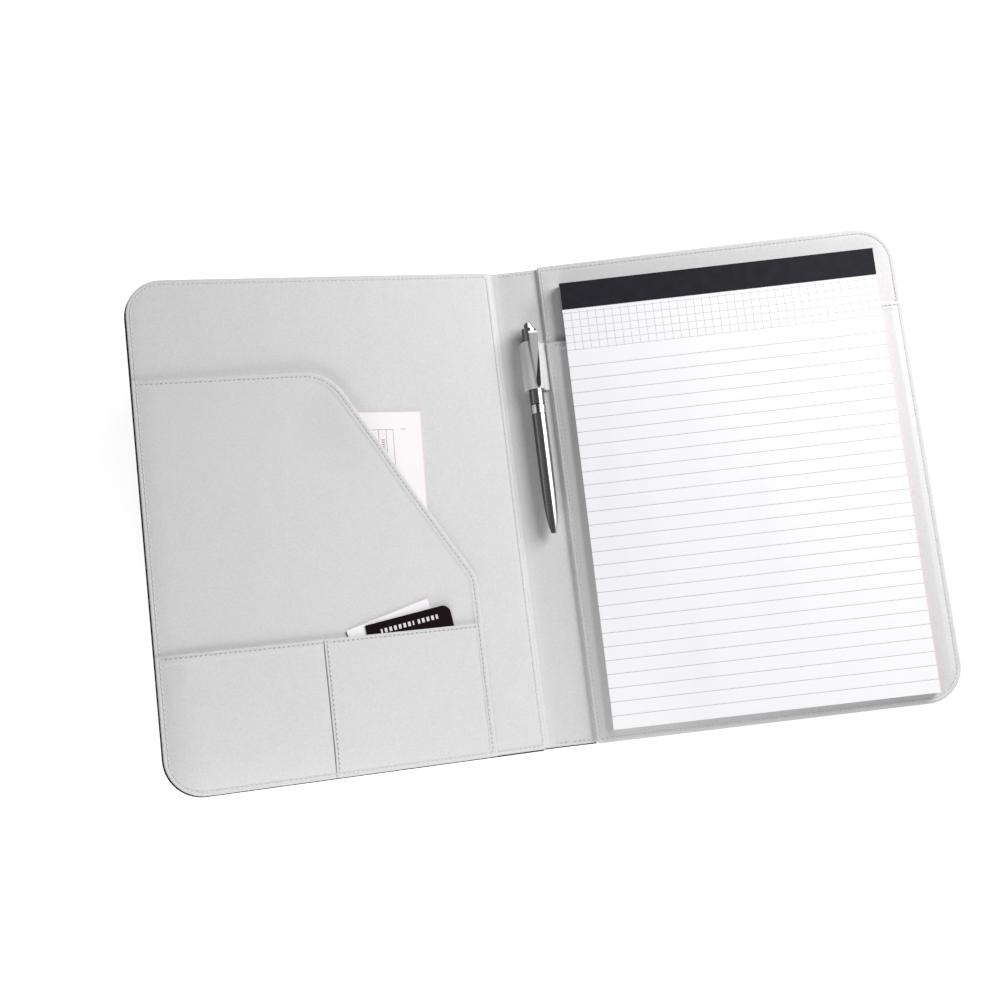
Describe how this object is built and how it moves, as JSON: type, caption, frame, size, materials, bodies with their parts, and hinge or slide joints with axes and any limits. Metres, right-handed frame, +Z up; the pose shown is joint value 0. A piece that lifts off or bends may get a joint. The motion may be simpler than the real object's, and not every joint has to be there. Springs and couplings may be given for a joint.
{
  "type": "conference folder",
  "caption": "Open padded conference folder with a slanted document pocket, ticket pockets, a pen in a spine loop and a memo pad in a slot.",
  "frame": {"origin": "centre of the open folder's box, on the table plane under it", "axes": "+X from the front cover across the spine to the back cover, +Y up the page towards the pad's head, +Z up from the table"},
  "size_m": [0.5008, 0.3198, 0.082],
  "materials": {
    "outer_leather": "fine-grained black imitation leather",
    "lining_leather": "matt light grey imitation leather with a very fine grain",
    "crease_leather": "matt light grey imitation leather, creased",
    "foam": "thin open foam",
    "greyboard": "uncoated grey board",
    "pad_paper": "white writing paper with printed lines",
    "document_paper": "faintly pink paper",
    "ticket_paper": "white paper",
    "ticket_card": "nearly black card",
    "binding_tape": "satin black tape",
    "pen_steel": "satin metal",
    "pen_chrome": "polished",
    "pen_plastic": "plain moulded",
    "spring_steel": "drawn wire"
  },
  "bodies": {
    "back_cover": {"back_skin": "outer_leather", "back_padding": "foam", "back_board": "greyboard", "back_lining": "lining_leather", "pad_slot_panel": "lining_leather", "right_crease": "crease_leather"},
    "pad": {"pad_backing_board": "greyboard", "pad_sheets": "pad_paper", "pad_binding_strip": "binding_tape"},
    "pad_page": {"pad_top_sheet": "pad_paper"},
    "spine": {"spine_skin": "outer_leather", "spine_board": "greyboard", "spine_lining": "lining_leather", "left_crease": "crease_leather", "pen_loop": "lining_leather", "pen_loop_tab": "lining_leather"},
    "pen": {"pen_upper_barrel": "pen_steel", "pen_ring": "pen_chrome", "pen_lower_barrel": "pen_steel", "pen_clip": "pen_chrome", "pen_spring": "spring_steel"},
    "button": {"pen_button": "pen_chrome", "pen_thrust_tube": "pen_plastic"},
    "refill": {"pen_refill": "pen_plastic"},
    "front_cover": {"front_skin": "outer_leather", "front_padding": "foam", "front_board": "greyboard", "front_lining": "lining_leather", "document_pocket": "lining_leather", "outer_ticket_pocket": "lining_leather", "inner_ticket_pocket": "lining_leather"},
    "document": {"document_sheet": "document_paper"},
    "plain_ticket": {"plain_ticket": "ticket_paper"},
    "dark_ticket": {"dark_ticket": "ticket_card"}
  },
  "joints": [
    {"name": "spine_fold", "type": "hinge", "parent": "back_cover", "child": "spine", "pos_m": [0.00814, 0, 0.002], "axis": [0, 1, 0], "range_deg": [0, 70], "deforming": ["right_crease", "pen_loop_tab"]},
    {"name": "front_fold", "type": "hinge", "parent": "spine", "child": "front_cover", "pos_m": [-0.02036, 0, 0.002], "axis": [0, 1, 0], "range_deg": [-18.3, 91], "deforming": ["left_crease"]},
    {"name": "pad_slide", "type": "slide", "parent": "back_cover", "child": "pad", "axis": [0.0059, 1, 0], "range_m": [0, 0.26]},
    {"name": "page_turn", "type": "hinge", "parent": "pad", "child": "pad_page", "pos_m": [0.02358, 0.1255, 0.01265], "axis": [-1, 0.0059, 0], "range_deg": [0, 175]},
    {"name": "pen_slide", "type": "slide", "parent": "spine", "child": "pen", "axis": [0, 1, 0], "range_m": [0, 0.13]},
    {"name": "button_press", "type": "slide", "parent": "pen", "child": "button", "axis": [0, -1, 0], "range_m": [0, 0.004], "stiffness_N_per_m": 800, "springref_m": -0.001, "deforming": ["pen_spring"]},
    {"name": "refill_travel", "type": "slide", "parent": "pen", "child": "refill", "axis": [0, -1, 0], "range_m": [0, 0.004]},
    {"name": "document_slide", "type": "slide", "parent": "front_cover", "child": "document", "axis": [0.0381, 0.9992, -0.0126], "range_m": [0, 0.24]},
    {"name": "plain_ticket_slide", "type": "slide", "parent": "front_cover", "child": "plain_ticket", "axis": [-0.2617, 0.9613, 0.0865], "range_m": [0, 0.08]},
    {"name": "dark_ticket_slide", "type": "slide", "parent": "front_cover", "child": "dark_ticket", "axis": [-0.1436, 0.9885, 0.0475], "range_m": [0, 0.08]}
  ],
  "couplings": [
    {"joint": "refill_travel", "follows": "button_press", "ratio": 1}
  ]
}
